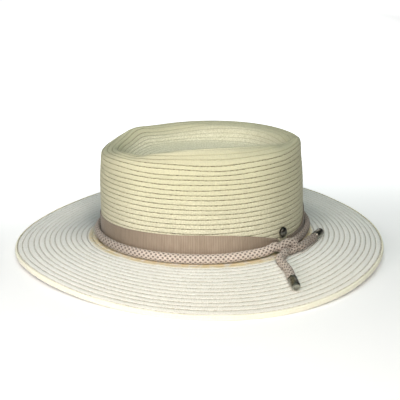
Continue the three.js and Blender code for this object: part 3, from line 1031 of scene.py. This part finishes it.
@dataclass(frozen=True)
class Braid:
    """How a sewn row stands off its surface, and how its strands count along it."""

    strand: float = 2.8
    bulge: float = 0.42
    bulge_middle: float = 0.6
    squareness: int = 4
    shingle: float = 0.16
    # Share of a row, waves round the hat and series of each stray of a seam
    strays: tuple[Row, ...] = ((0.045, 3, 0.3), (0.03, 8, 0.7))
    face_steps: Row = (0.0, 0.07, 0.3, 0.7, 0.93)
    inner_steps: Row = (0.0, 0.2, 0.8)
    least_step: float = 0.02
    inner_relief: float = 0.6

    def levels(self, low: float, high: float, steps: Row) -> np.ndarray:
        """V of each row of points from low to high, with both ends.

        Args:
            low: V at the start.
            high: V at the end.
            steps: Shares of a row where it gets points.

        Returns:
            The values, rising.
        """
        rows = np.arange(math.floor(low), math.ceil(high))
        inner = (rows[:, None] + np.array(steps)[None]).ravel()
        inner = inner[(inner > low + self.least_step) & (inner < high - self.least_step)]
        return np.concatenate([[low], inner, [high]])

    def relief(self, v: np.ndarray) -> np.ndarray:
        """Height of the straw over its middle surface.

        Args:
            v: V of the rows of points.

        Returns:
            The heights in millimetres.
        """
        share = v - np.floor(v)
        rounded = 1 - np.abs(2 * share - 1) ** self.squareness
        return self.bulge * (rounded - self.bulge_middle) + self.shingle * (0.5 - share)

    def sway(self, v: np.ndarray, angles: np.ndarray) -> np.ndarray:
        """How far each seam strays, as a share of a row.

        Args:
            v: V of the rows of points.
            angles: Angles of the columns.

        Returns:
            The shift for each row and column.
        """
        def seam(index: np.ndarray) -> np.ndarray:
            """The stray of whole seams.

            Args:
                index: The seams' numbers.

            Returns:
                The shift for each seam and column.
            """
            return sum(
                share * np.sin(waves * angles[None] + hashed(index, series)[:, None] * 2 * math.pi)
                for share, waves, series in self.strays
            )

        base = np.floor(v)
        share = (v - base)[:, None]
        return seam(base) * (1 - share) + seam(base + 1) * share

    def strands(self, points: np.ndarray, v: np.ndarray) -> np.ndarray:
        """U for each row of faces: a whole number of strands round each braid row.

        Args:
            points: The grid in millimetres.
            v: V of its rows of points.

        Returns:
            U at each column, for each row of faces.
        """
        length = np.linalg.norm(np.diff(points, axis=1), axis=2).sum(axis=1)
        middle = (v[1:] + v[:-1]) / 2
        row = np.floor(middle).astype(int)
        counts = np.empty(len(middle))
        for number in np.unique(row):
            same = row == number
            counts[same] = max(2.0, round(length[:-1][same].mean() / self.strand))
        share = np.linspace(0, 1, points.shape[1])
        return counts[:, None] * share[None] + np.round(hashed(row, 0.1) * 7)[:, None]


@dataclass
class Crown:
    """The crown: sewn rows over the rim and into the dip, and their inner side."""

    form: CrownForm = field(default_factory=CrownForm)
    braid: Braid = field(default_factory=Braid)
    columns: int = 320
    pitch: float = 5.0
    first_seam: float = 2.3
    rim_seam: float = 18.5
    rim_spread: float = 2.0
    rim_waver: float = 2.2
    fine_steps: int = 521

    def seams(self, angles: np.ndarray) -> tuple[np.ndarray, np.ndarray]:
        """Where the braid's rows lie: sewn at an even pitch up the wall and over the rim.

        Args:
            angles: Angles of the columns.

        Returns:
            Fractional section rows, and V at each of them for each column.
        """
        fine = np.linspace(0, CENTRE_ROW, self.fine_steps)
        line = self.form.local(fine[:, None], angles[None])
        reach = np.linalg.norm(np.diff(line, axis=0), axis=2).cumsum(axis=0)
        reach = np.concatenate([np.zeros((1, len(angles))), reach])
        wall = fine < RIM_ROW
        columns = zip(line[wall][..., 2].T, reach[wall].T)
        start = [np.interp(self.first_seam, heights, reaches) for heights, reaches in columns]
        v = (reach - start) / self.pitch
        share = np.clip((fine - INNER_ROW) / (FLOOR_ROW - INNER_ROW), 0, 1)[:, None]
        share = share * share * (3 - 2 * share)
        return fine, v * (1 - share) + v.mean(axis=1, keepdims=True) * share

    def build(self, straw: bpy.types.Material) -> bpy.types.Object:
        """Model the crown as one closed shell.

        Args:
            straw: Its finish.

        Returns:
            The crown.
        """
        angles = all_round(self.columns)
        low, high = self.seams(angles)[1][[0, -1]].mean(axis=1)
        outer_v = self.braid.levels(low, high, self.braid.face_steps)
        inner_v = self.braid.levels(low, high, self.braid.inner_steps)
        outer = self._skin(outer_v, angles, 1)
        inner = self._skin(inner_v, angles, -1)
        points = np.concatenate([outer[::-1], inner])
        v = np.concatenate([outer_v[::-1], inner_v])
        strands = self.braid.strands(points, v)
        piece = Bench.bent_grid("hat_crown", self.form.to_world(points) * MM, strands, v)
        Bench.close(piece)
        Bench.dress(piece, straw)
        return piece

    def _skin(self, v: np.ndarray, angles: np.ndarray, facing: int) -> np.ndarray:
        """One side of the shell.

        Args:
            v: V of its rows of points.
            angles: Angles of its columns.
            facing: 1 for the outside, -1 for the inside.

        Returns:
            The grid, in the crown's own frame.
        """
        fine, seams = self.seams(angles)
        waver = 1 + self.rim_waver * np.exp(-((v - self.rim_seam) / self.rim_spread) ** 2)
        strayed = v[:, None] + self.braid.sway(v, angles) * waver[:, None]
        rows = np.stack([np.interp(*pair, fine) for pair in zip(strayed.T, seams.T)], axis=1)
        rows[0], rows[-1] = 0, CENTRE_ROW
        points = self.form.local(rows, angles[None])
        normals = grid_normals(points)
        normals[-1] = (0, 0, 1)
        relief = self.braid.relief(v)[:, None, None]
        relief[[0, -1]] = 0
        offset = relief if facing > 0 else INNER_LIFT - WALL - self.braid.inner_relief * relief
        return points + normals * offset


@dataclass
class Brim:
    """The brim's sewn rows above and below, and the last row turned down round its edge."""

    form: BrimForm = field(default_factory=BrimForm)
    braid: Braid = field(default_factory=lambda: Braid(bulge=0.4, shingle=-0.12))
    columns: int = 460
    rows: int = 15
    # Inset and rise of each point round the turned-down row
    edge_profile: tuple[Span, ...] = (
        (2.2, 5), (1, 5.4), (0.3, 4.4), (0, 2.6), (0.1, 0.7), (0.7, 0), (1.9, 0), (2.2, 0.8),
    )
    edge_steps: int = 33
    edge_margin: float = 0.04
    # Height, waves round the hat and turn of each sway of its upper side
    edge_sways: tuple[Row, ...] = ((0.12, 11, 0), (0.1, 23, 1))

    def build(self, straw: bpy.types.Material) -> bpy.types.Object:
        """Model the brim as one closed ring.

        Args:
            straw: Its finish.

        Returns:
            The brim.
        """
        angles = all_round(self.columns)
        top_v = self.braid.levels(0, self.rows, self.braid.face_steps)
        under_v = self.braid.levels(0, self.rows, self.braid.inner_steps)
        top = self._face(top_v, angles, 1)
        under = self._face(under_v, angles, -1)
        points = np.concatenate([top, under[::-1], top[:1]])
        v = np.concatenate([top_v, under_v[::-1], top_v[:1]])
        piece = Bench.bent_grid("hat_brim", points * MM, self.braid.strands(points, v), v)
        Bench.close(piece)
        Bench.dress(piece, straw)
        return piece

    def _face(self, v: np.ndarray, angles: np.ndarray, facing: int) -> np.ndarray:
        """One face of the brim.

        Args:
            v: V of its rows of points.
            angles: Angles of its columns.
            facing: 1 for the upper face, -1 for the lower.

        Returns:
            The grid, in millimetres.
        """
        strayed = v[:, None] + self.braid.sway(v, angles)
        strayed[[0, -1]] = v[[0, -1], None]
        points = self.form.top(angles[None], strayed / self.rows)
        relief = self.braid.relief(v)[:, None]
        points[..., 2] += relief if facing > 0 else -WALL - self.braid.inner_relief * relief
        return points

    def build_edge(self, straw: bpy.types.Material) -> bpy.types.Object:
        """Model the turned-down last row.

        Args:
            straw: Its finish.

        Returns:
            The row.
        """
        angles = all_round(self.columns)
        table = np.array(self.edge_profile[-1:] + self.edge_profile + self.edge_profile[:3])
        steps = np.linspace(1, 1 + len(self.edge_profile), self.edge_steps)
        profile = along_rows(table, steps)
        v = self.rows + np.linspace(self.edge_margin, 1 - self.edge_margin, len(profile))
        points = self.form.edge(angles[None], profile[:, :1], profile[:, 1:])
        sway = sum(height * np.sin(waves * angles + turn) for height, waves, turn in self.edge_sways)
        points[..., 2] += sway[None] * np.clip(profile[:, 1:] / EDGE_BAND, 0, 1)
        piece = Bench.bent_grid("hat_edge", points * MM, self.braid.strands(points, v), v)
        Bench.close(piece)
        Bench.dress(piece, straw)
        return piece


@dataclass
class Ribbon:
    """The ribbon round the crown's foot, gathered into the knot."""

    form: CrownForm = field(default_factory=CrownForm)
    columns: int = 520
    levels: int = 14
    rib: float = 1.7
    gather: float = 12.0
    pleats: float = 2.5
    pleat_depth: float = 0.45
    pleat_turn: float = 0.12
    swell: float = 0.3
    crease: float = 50.0
    # Depth, radians for each degree of turn, and start of each sway of its top
    sways: tuple[Row, ...] = ((0.12, 0.21, 0), (0.1, 0.47, 1))

    def build(self, cloth: bpy.types.Material) -> bpy.types.Object:
        """Args:
            cloth: Its finish.

        Returns:
            The ribbon.
        """
        share = np.linspace(0, 1, self.columns + 1)
        start = GATHER_FORWARD[0, 0]
        turn = start + share * (360 - 2 * start)
        level = np.linspace(0, 1, self.levels + 1)
        points = self.form.to_world(self._strip(turn[None], level[:, None]))
        run = run_along(points[self.levels // 2])
        u = np.repeat(run[None] / self.rib, self.levels, axis=0)
        piece = Bench.bent_grid("hat_ribbon", points * MM, u, level)
        Bench.apply(piece, "SOLIDIFY", thickness=RIBBON_THICKNESS * MM, offset=0)
        Bench.dress(piece, cloth, self.crease)
        return piece

    def _strip(self, turn: np.ndarray, level: np.ndarray) -> np.ndarray:
        """Points of the ribbon's middle surface.

        Args:
            turn: Degrees from the knot.
            level: Shares of its height.

        Returns:
            The points in the crown's own frame.
        """
        near = np.minimum(turn, 360 - turn)
        ahead, behind = (
            [np.interp(near, table[:, 0], table[:, k]) for k in (1, 2)]
            for table in (GATHER_FORWARD, GATHER_BACK)
        )
        angle = np.radians(KNOT_ANGLE - turn)
        foot, top = (np.where(turn < 180, *pair) for pair in zip(ahead, behind))
        top = top + RIBBON_TILT * np.cos(angle)
        pull = np.exp(-((near - GATHER_FORWARD[0, 0]) / self.gather) ** 2)
        folds = level * 2 * math.pi * self.pleats + near * self.pleat_turn
        pleat = self.pleat_depth * pull * np.sin(folds)
        wave = sum(depth * np.sin(turn * waves + start) for depth, waves, start in self.sways)
        out = RIBBON_GAP + RIBBON_THICKNESS / 2 + self.swell * pull + pleat + wave * level
        return self.form.wall(angle, foot + (top - foot) * level, out)


@dataclass
class Cord:
    """The cord: one free end, the half knot, once round the crown, the knot again, the other end."""

    form: CrownForm = field(default_factory=CrownForm)
    brim: BrimForm = field(default_factory=BrimForm)
    lay: float = 4.8
    strands: int = 6
    relief: float = 0.2
    relief_middle: float = 0.35
    relief_floor: float = -0.2
    sides: int = 40
    step: float = 0.62
    path_step: int = 4
    band_points: int = 57
    crease: float = 60.0
    # Distance from the nearer end, and radius there
    radii: tuple[Span, ...] = ((1, 3.8), (4, 4.1), (45, 3.8), (75, 3.8), (105, 4.6))
    # Share of the thickness lost against the crown, and angle and spread of both stretches
    flatness: float = 0.36
    pressed: tuple[Span, ...] = ((178, 48), (8, 40))
    pressed_within: float = 2.0
    # Distance along the crown to the back, out from it, and up, from the knot's foot
    side_exit: tuple[Row, ...] = ((-9.5, 6.4, -1.0), (-13.6, 9.8, -1))
    loop: tuple[Row, ...] = (
        (-5, 6.4, -2.4), (-1, 8, -2.4), (2.4, 8.8, -0.6), (3.4, 8.4, 2.6), (1.2, 6.8, 5.8),
        (-3, 5, 6.4), (-7.4, 3.4, 5.0), (-13, 1.6, 2.4),
    )
    bight: tuple[Row, ...] = (
        (11.5, 0.8, 2.2), (5, 2.2, 1.2), (0, 3.4, 0.8), (-2.6, 4.4, -0.6), (0.2, 5.4, -1.2),
    )
    back_exit: tuple[Row, ...] = ((5.2, 8.2, -0.9), (10.2, 9.8, -1))

    def __post_init__(self) -> None:
        """Work out the knot's frame and both free ends."""
        angle = math.radians(KNOT_ANGLE)
        self.out = RIBBON_GAP + RIBBON_THICKNESS + CLEARANCE + CORD_DIAMETER / 2
        self.knot_foot = self.form.wall(angle, KNOT_HEIGHT, self.out)
        self.knot_out = self.form.outward(KNOT_ROW, angle)
        self.knot_along = np.cross([0, 0, 1], self.knot_out)
        self.side_end = self._on_brim(SIDE_TAIL)
        self.back_end = self._on_brim(BACK_TAIL)

    def _in_knot(self, rows: tuple[Row, ...]) -> np.ndarray:
        """Points in the hat's frame from distances along the crown to the back, out of it, and up."""
        directions = np.array([self.knot_along, self.knot_out, (0, 0, 1)])
        return self.form.to_world(self.knot_foot + np.array(rows, float) @ directions)

    def _on_brim(self, rows: tuple[Row, ...]) -> np.ndarray:
        """Points of a free end that lies on the brim.

        Args:
            rows: Angles, distances out from the crown's foot, and lifts.

        Returns:
            Points in millimetres.
        """
        points = []
        for degrees, out, lift in rows:
            angle = math.radians(degrees)
            inner, outer = self.brim.top(angle, 0), self.brim.top(angle, 1)
            point = self.brim.top(angle, out / np.hypot(*(outer - inner)[:2]))
            point[2] += FERRULE_DIAMETER / 2 + CLEARANCE + lift
            points.append(point)
        return np.array(points)

    def route(self) -> np.ndarray:
        """The cord's whole centreline, from the side end to the back end.

        Returns:
            Closely spaced points in millimetres.
        """
        turns = np.linspace(CORD_HEIGHTS[0, 0], CORD_HEIGHTS[-1, 0], self.band_points)
        near = np.minimum(turns[0] - turns, turns - turns[-1])
        share = np.interp(-turns, -CORD_HEIGHTS[:, 0], np.arange(len(CORD_HEIGHTS)))
        low = np.minimum(share.astype(int), len(CORD_HEIGHTS) - 2)
        t = share - low
        below, above = CORD_HEIGHTS[low, 1], CORD_HEIGHTS[low + 1, 1]
        height = below + (above - below) * t * t * (3 - 2 * t)
        lift = KNOT_LIFT * np.maximum(0.0, 1 - near / KNOT_REACH)
        band = self.form.wall(np.radians(turns), height, self.out + lift)
        return spaced(np.concatenate([
            self.side_end[::-1], self._in_knot(self.side_exit)[::-1], self._in_knot(self.loop),
            self.form.to_world(band), self._in_knot(self.bight),
            self._in_knot(self.back_exit), self.back_end,
        ]), self.step)

    def _pressed(self, across: np.ndarray, line: np.ndarray) -> np.ndarray:
        """Press the cord flat against the crown at the front and the back.

        Args:
            across: The skin's offsets from the centreline.
            line: The centreline in millimetres.

        Returns:
            The offsets of the pressed skin.
        """
        length, width = CROWN_SECTIONS[BAND_ROW, 1:3]
        angles = np.arctan2(line[:, 1] / width, line[:, 0] / length)
        out = self.form.outward(BAND_ROW, angles)
        from_wall = np.linalg.norm(line[:, :2] - self.form.local(BAND_ROW, angles)[:, :2], axis=1)
        lying = np.abs(from_wall - self.out) < self.pressed_within
        share = self.flatness * lying * sum(
            np.exp(-spreads_from(angles, *stretch) ** 4) for stretch in self.pressed
        )
        thickness = (across * out).sum(axis=-1) + CORD_DIAMETER / 2
        return across - out * thickness[..., None] * share[:, None]

    def build(self, braided: bpy.types.Material, ends: list[bpy.types.Object]) -> bpy.types.Object:
        """Args:
            braided: Its finish.
            ends: The metal ends on it; not used.

        Returns:
            The cord.
        """
        line = self.route()
        run = run_along(line)
        side, up = carried_frames(line)
        share = np.linspace(0, 1, self.sides + 1)
        turn = share * 2 * math.pi
        u = run / self.lay
        cells = np.cos(2 * math.pi * u)[None] * np.cos(2 * math.pi * share * self.strands)[:, None]
        free = np.minimum(run, run[-1] - run)
        half = np.interp(free, *zip(*self.radii))
        dents = np.maximum(cells, self.relief_floor) ** 2 + cells
        radius = half + self.relief * (self.relief_middle - dents)
        spoke = np.cos(turn)[:, None, None] * side[None] + np.sin(turn)[:, None, None] * up[None]
        points = line[None] + self._pressed(spoke * radius[..., None], line)
        piece = Bench.bent_grid("hat_cord", points * MM, np.repeat(u[None], self.sides, axis=0), share)
        Bench.close(piece, fill=True)
        Bench.dress(piece, braided, self.crease)
        LOG.info("cord is %.0f mm long", run[-1])
        return piece


def spaced(points: np.ndarray, step: float) -> np.ndarray:
    """A smooth line through points, with points a step apart.

    Args:
        points: The points that it goes through.
        step: The distance between its points.

    Returns:
        The line.
    """
    knots = np.concatenate([[0], np.cumsum(np.sqrt(np.linalg.norm(np.diff(points, axis=0), axis=1)))])
    slope = np.gradient(points, knots, axis=0)
    fine = []
    t = np.linspace(0, 1, STRETCH_STEPS, endpoint=False)[:, None]
    for k, width in enumerate(np.diff(knots)):
        fine.append(eased(points[k], slope[k] * width, points[k + 1], slope[k + 1] * width, t))
    line = np.concatenate([*fine, points[-1:]])
    run = run_along(line)
    places = np.linspace(0, run[-1], max(2, round(run[-1] / step) + 1))
    return np.stack([np.interp(places, run, line[:, axis]) for axis in range(3)], axis=1)


def carried_frames(line: np.ndarray) -> tuple[np.ndarray, np.ndarray]:
    """Two directions across a line at each of its points, carried along without twist.

    Args:
        line: The line's points.

    Returns:
        The side and the up directions.
    """
    tangents = np.gradient(line, axis=0)
    tangents /= np.linalg.norm(tangents, axis=1, keepdims=True)
    side = np.cross(tangents[0], [0, 0, 1.0])
    sides = []
    for tangent in tangents:
        side = side - tangent * (side @ tangent)
        side = side / np.linalg.norm(side)
        sides.append(side)
    sides = np.array(sides)
    return sides, np.cross(tangents, sides)


@dataclass
class Metal:
    """The two ferrules and the stud."""

    form: CrownForm = field(default_factory=CrownForm)
    sides: int = 56
    # Inset from the ferrule's radius and height over its mouth, with a groove close to the mouth
    mouth: tuple[Span, ...] = ((0.5, 0), (0, 0.4), (0, 1.5), (0.25, 1.9), (0.25, 2.4), (0, 2.8))
    # Inset and depth below its closed end, rounded and with a shallow dish
    tip: tuple[Span, ...] = ((0, 1.2), (0.3, 0.5), (1, 0.1), (1.6, 0), (2.2, 0.4), (4.1, 0.4))
    ferrule_crease: float = 35.0
    # Share of the stud's half width, and height over its foot
    foot: tuple[Span, ...] = ((0.7, 0), (0.76, 0.8), (0.97, 1.3), (1, 1.8))
    dome_foot: float = 2.4
    dome_rise: float = 2.8
    dome_steps: int = 9
    dome_power: float = 0.8
    dome_top: float = 0.2
    stud_crease: float = 40.0

    def ferrule(self, name: str, end: np.ndarray, finish: bpy.types.Material) -> bpy.types.Object:
        """Turn a ferrule over a free end.

        Args:
            name: The piece's name.
            end: The free end's points.
            finish: Its finish.

        Returns:
            The ferrule.
        """
        radius = FERRULE_DIAMETER / 2
        profile = [(radius - inset, height) for inset, height in self.mouth]
        profile += [(radius - inset, FERRULE_LENGTH - depth) for inset, depth in self.tip]
        piece = Bench.turned(name, profile, self.sides)
        direction = Vector(end[-1] - end[-2]).normalized()
        start = Vector(end[-1]) + direction * CLEARANCE
        Bench.place(piece, Matrix.LocRotScale(start * MM, direction.to_track_quat("Z", "Y"), None))
        Bench.dress(piece, finish, self.ferrule_crease)
        return piece

    def stud(self, finish: bpy.types.Material) -> bpy.types.Object:
        """Turn the blank oval stud and set it on the ribbon.

        Args:
            finish: Its finish.

        Returns:
            The stud.
        """
        half = STUD_WIDTH / 2
        profile = [(half * share, height) for share, height in self.foot]
        for rise in np.linspace(0, math.pi / 2, self.dome_steps, endpoint=False):
            height = self.dome_foot + self.dome_rise * math.sin(rise)
            profile.append((half * math.cos(rise) ** self.dome_power, height))
        profile.append((self.dome_top, self.dome_foot + self.dome_rise))
        piece = Bench.turned("hat_stud", profile, self.sides)
        Bench.place(piece, self._stud_frame())
        Bench.dress(piece, finish, self.stud_crease)
        return piece

    def _stud_frame(self) -> Matrix:
        """The stud's place on the ribbon, upright on the leaning crown and taller than wide.

        Returns:
            The frame that its turned form is placed by.
        """
        angle = math.radians(STUD_ANGLE)
        out = Vector(self.form.outward(BAND_ROW, angle))
        up = Vector((0, 0, 1))
        basis = Matrix((up.cross(out), up, out)).transposed().to_4x4()
        place = Matrix.Translation(Vector(self.form.wall(angle, STUD_LEVEL, RIBBON_GAP)) * MM)
        moved = self.form.to_world(np.array([(0, 0, 0), (1, 0, 0), (0, 1, 0), (0, 0, 1)], float))
        lean = Matrix([list(row) for row in (moved[1:] - moved[0]).T]).to_4x4()
        lift = Matrix.Translation(Vector(moved[0]) * MM)
        oval = Matrix.Diagonal((1, STUD_HEIGHT / STUD_WIDTH, 1, 1))
        return lift @ lean @ place @ basis @ oval


@dataclass(frozen=True)
class SoftBox:
    """A round soft light that looks at the hat: its place and size in metres, and its watts."""

    name: str
    place: Row
    size: float
    power: float
    colour: Colour
    aim: Row = (0, 0, 0.06)

    def hang(self) -> None:
        """Hang the light and turn it to the hat."""
        Bench.clear()
        bpy.ops.object.light_add(type="AREA", location=self.place)
        light = bpy.context.object
        light.name = self.name
        light.data.shape = "DISK"
        light.data.size = self.size
        light.data.energy = self.power
        light.data.color = self.colour
        look = Vector(self.aim) - Vector(self.place)
        light.rotation_euler = look.to_track_quat("-Z", "Y").to_euler()


@dataclass
class Studio:
    """The camera at the photograph's angle, soft lights, and a pale floor."""

    place: Row = (-0.12634, -0.85748, 0.41369)
    aim: Row = (0.0, 0.0, 0.0151)
    focal_pixels: float = 904.4
    aim_pixel: Span = (200.43, 228.69)
    roll: float = 0.56
    sensor: float = 36.0
    nearest: float = 0.02
    floor_side: float = 16.0
    sky_colour: Row = (0.96, 0.98, 1.0, 1)
    sky_strength: float = 0.05
    soft_boxes: tuple[SoftBox, ...] = (
        SoftBox("key_box", (-0.36, -0.85, 0.77), 0.5, 3.4, (1.0, 0.88, 0.82)),
        SoftBox("middle_box", (0.05, -0.95, 0.75), 0.4, 6.2, (1.0, 0.93, 0.86)),
        SoftBox("top_box", (0.0, -0.25, 1.5), 1.2, 6.7, (0.70, 0.965, 1.0)),
        SoftBox("side_box", (-0.55, -0.55, 0.35), 0.4, 2.7, (1.0, 0.94, 0.95)),
        SoftBox("back_box", (0.45, 1.1, 0.75), 0.8, 1.8, (1.0, 0.95, 0.9)),
    )

    def camera(self) -> None:
        """Set up the camera, with the aim's pixel off the middle of the picture."""
        Bench.clear()
        bpy.ops.object.camera_add(location=self.place)
        camera = bpy.context.object
        camera.name = "photo_camera"
        look = (Vector(self.aim) - Vector(self.place)).to_track_quat("-Z", "Y")
        camera.rotation_mode = "QUATERNION"
        camera.rotation_quaternion = look @ Quaternion((0, 0, 1), math.radians(self.roll))
        camera.data.sensor_width = self.sensor
        camera.data.lens = self.focal_pixels * self.sensor / PHOTO_PIXELS
        middle = PHOTO_PIXELS / 2
        camera.data.shift_x = (middle - self.aim_pixel[0]) / PHOTO_PIXELS
        camera.data.shift_y = (self.aim_pixel[1] - middle) / PHOTO_PIXELS
        camera.data.clip_start = self.nearest
        bpy.context.scene.camera = camera

    def lights(self) -> None:
        """Hang the soft boxes and set up the sky."""
        for box in self.soft_boxes:
            box.hang()
        world = bpy.data.worlds.new("studio_sky")
        world.use_nodes = True
        sky = world.node_tree.nodes["Background"]
        sky.inputs["Color"].default_value = self.sky_colour
        sky.inputs["Strength"].default_value = self.sky_strength
        bpy.context.scene.world = world
        bpy.context.scene.view_settings.view_transform = "Standard"

    def floor(self) -> None:
        """Lay the floor."""
        Bench.clear()
        bpy.ops.mesh.primitive_plane_add(size=self.floor_side, location=(0, 0, 0))
        floor = Bench.named("studio_floor")
        floor.data.materials.append(FloorFinish().make())


def settle(piece: bpy.types.Object, slot: Slot, *nodes: str) -> None:
    """Let a finished piece stand for its solids.

    Args:
        piece: The piece.
        slot: The record's material slot; not used.
        nodes: The solids that it replaces.
    """
    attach(piece, ROOT_BODY)
    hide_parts(*nodes)
    LOG.info("%s replaces %s", piece.name, ", ".join(nodes))


def main() -> None:
    """Build the studio and the hat's pieces in order."""
    logging.basicConfig(level=logging.INFO, format="%(name)s: %(message)s")
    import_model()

    studio = Studio()
    studio.camera()
    studio.floor()
    studio.lights()

    nickel = MetalFinish().make()
    cord = Cord()
    metal = Metal()
    ferrule_side = metal.ferrule("ferrule_side_cup", cord.side_end, nickel)
    ferrule_back = metal.ferrule("ferrule_back_cup", cord.back_end, nickel)
    braided = cord.build(CordFinish().make(), [ferrule_side, ferrule_back])
    settle(braided, Slot.CORD, "cord_band", "cord_knot", "cord_tail_side", "cord_tail_back")
    settle(ferrule_side, Slot.METAL, "ferrule_side")
    settle(ferrule_back, Slot.METAL, "ferrule_back")
    settle(metal.stud(STUD_NICKEL.make()), Slot.METAL, "stud")
    brim = Brim()
    settle(Crown().build(StrawFinish().make()), Slot.STRAW, "crown")
    settle(brim.build(BRIM_STRAW.make()), Slot.STRAW, "brim")
    settle(brim.build_edge(EDGE_STRAW.make()), Slot.STRAW, "edge_row")
    settle(Ribbon().build(RibbonFinish().make()), Slot.RIBBON, "ribbon_band")


if __name__ == "__main__":
    main()
